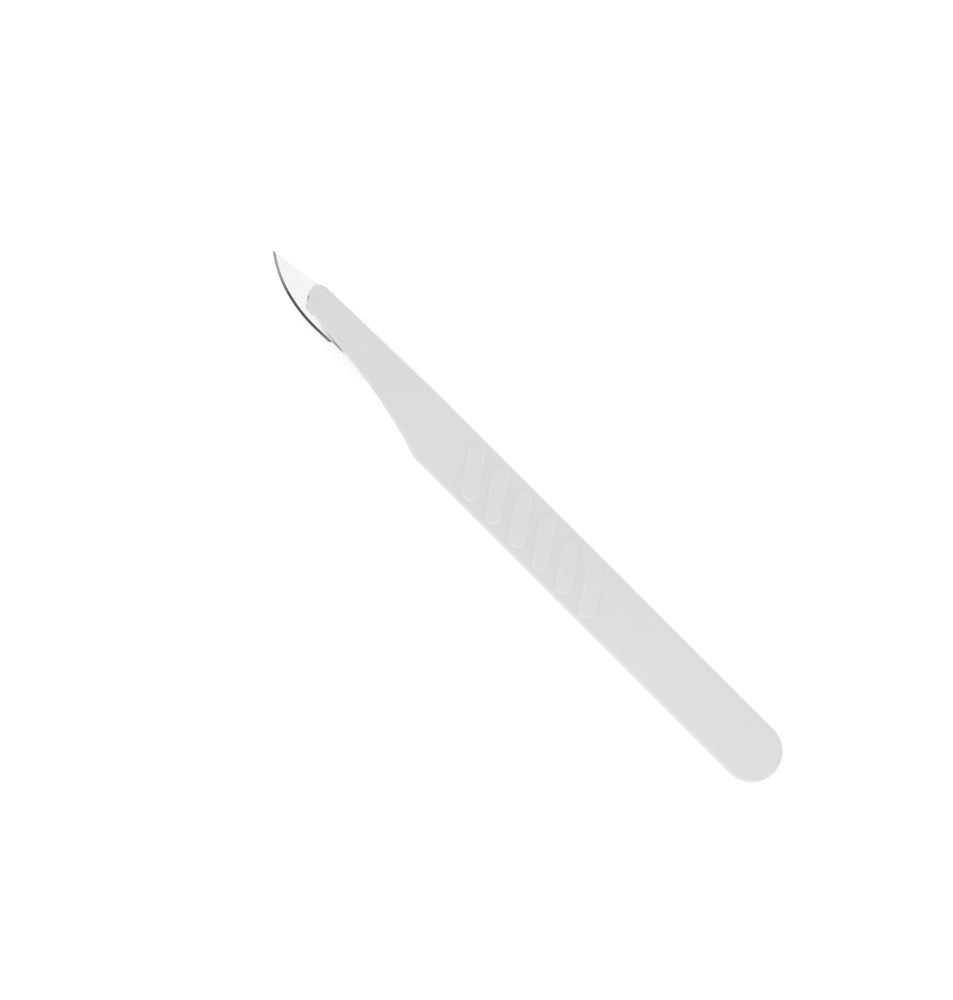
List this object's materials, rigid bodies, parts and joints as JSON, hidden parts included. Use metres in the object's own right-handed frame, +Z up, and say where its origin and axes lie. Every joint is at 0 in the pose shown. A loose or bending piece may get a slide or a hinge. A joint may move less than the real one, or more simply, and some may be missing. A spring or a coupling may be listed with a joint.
{
  "type": "disposable scalpel",
  "caption": "One-piece moulded scalpel handle with slanted grip ribs and a fixed, curved steel blade.",
  "frame": {"origin": "under the middle of the whole scalpel, on the surface that it lies on", "axes": "+X along the handle towards the blade's tip, +Y towards the cutting edge, +Z up, away from the face that the scalpel lies on"},
  "size_m": [0.1554, 0.0134, 0.0048],
  "materials": {
    "handle_plastic": "pale grey moulded plastic with a fine satin surface",
    "blade_steel": "bright satin blade steel with a finely ground, darker bevel"
  },
  "bodies": {
    "root": {"handle": "handle_plastic", "blade": "blade_steel"}
  },
  "joints": []
}
